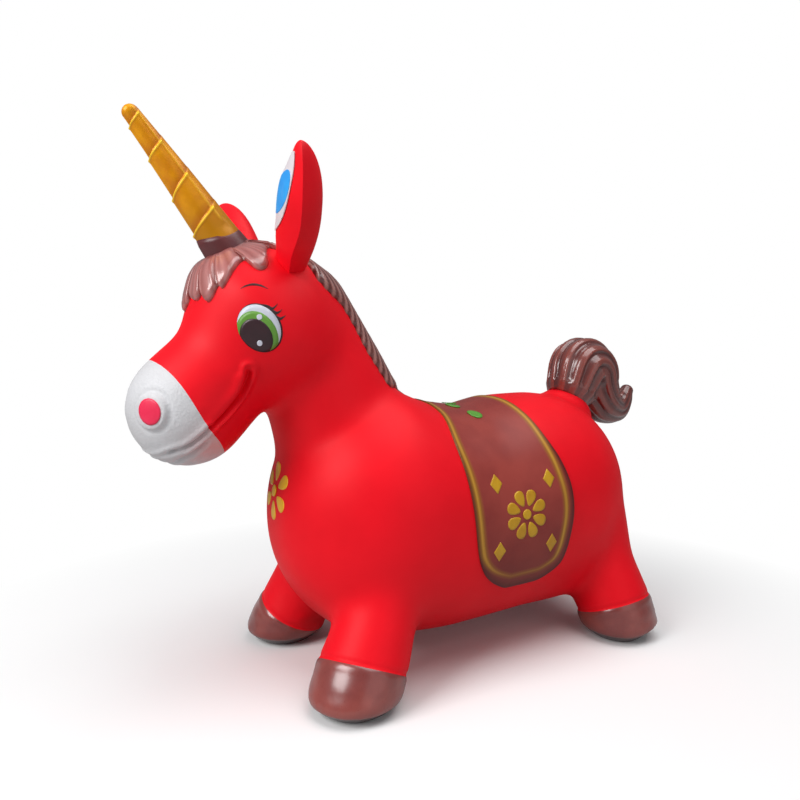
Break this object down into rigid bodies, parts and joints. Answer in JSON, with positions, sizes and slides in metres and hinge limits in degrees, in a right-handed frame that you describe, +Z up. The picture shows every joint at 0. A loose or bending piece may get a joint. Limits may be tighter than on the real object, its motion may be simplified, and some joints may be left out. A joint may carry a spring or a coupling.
{
  "type": "bouncy ride-on horse",
  "caption": "Inflated vinyl hopping horse with a ridged horn, a saddle cloth, painted hooves and a curled tail, for a small child to sit on and bounce.",
  "frame": {"origin": "on the floor, under the middle of the horse's bounding box", "axes": "+X forward, from tail to muzzle; +Y to the horse's left; +Z up"},
  "size_m": [0.6544, 0.2728, 0.5581],
  "materials": {
    "red_vinyl": "matte to satin, soft PVC",
    "brown_paint": "satin pearly paint on soft PVC",
    "saddle_paint": "satin paint on soft PVC",
    "white_paint": "matte off-white paint on soft PVC",
    "gold_paint": "satin metallic paint on soft PVC",
    "valve_vinyl": "matte"
  },
  "bodies": {
    "feet": {"front_left_hoof": "brown_paint", "front_right_hoof": "brown_paint", "rear_left_hoof": "brown_paint", "rear_right_hoof": "brown_paint", "front_left_leg_skin": "red_vinyl", "front_right_leg_skin": "red_vinyl", "rear_left_leg_skin": "red_vinyl", "rear_right_leg_skin": "red_vinyl"},
    "body": {"torso_skin": "red_vinyl", "neck_skin": "red_vinyl", "head_skin": "red_vinyl", "muzzle_skin": "white_paint", "forelock": "brown_paint", "mane": "brown_paint", "saddle": "saddle_paint", "valve_seat": "valve_vinyl"},
    "left_ear": {"left_ear": "red_vinyl"},
    "right_ear": {"right_ear": "red_vinyl"},
    "horn": {"horn": "gold_paint"},
    "tail": {"tail": "brown_paint"},
    "valve_plug": {"valve_plug": "valve_vinyl"}
  },
  "joints": [
    {"name": "bounce", "type": "slide", "parent": "feet", "child": "body", "axis": [0, 0, 1], "range_m": [-0.02, 0], "stiffness_N_per_m": 8000, "springref_m": 0.0015, "deforming": ["front_left_leg_skin", "front_right_leg_skin", "rear_left_leg_skin", "rear_right_leg_skin"]},
    {"name": "left_ear_flex", "type": "hinge", "parent": "body", "child": "left_ear", "pos_m": [0.186, 0.052, 0.418], "axis": [0, 1, 0], "range_deg": [-15, 15], "stiffness_Nm_per_rad": 0.6},
    {"name": "right_ear_flex", "type": "hinge", "parent": "body", "child": "right_ear", "pos_m": [0.186, -0.052, 0.418], "axis": [0, 1, 0], "range_deg": [-15, 15], "stiffness_Nm_per_rad": 0.6},
    {"name": "horn_flex", "type": "hinge", "parent": "body", "child": "horn", "pos_m": [0.2375, 0, 0.443], "axis": [0, 1, 0], "range_deg": [-10, 10], "stiffness_Nm_per_rad": 1.5},
    {"name": "tail_flex", "type": "hinge", "parent": "body", "child": "tail", "pos_m": [-0.219, 0, 0.282], "axis": [0, 1, 0], "range_deg": [-8, 8], "stiffness_Nm_per_rad": 1.5},
    {"name": "valve_plug_pull", "type": "slide", "parent": "body", "child": "valve_plug", "axis": [-1, 0, 0], "range_m": [0, 0.03]}
  ]
}
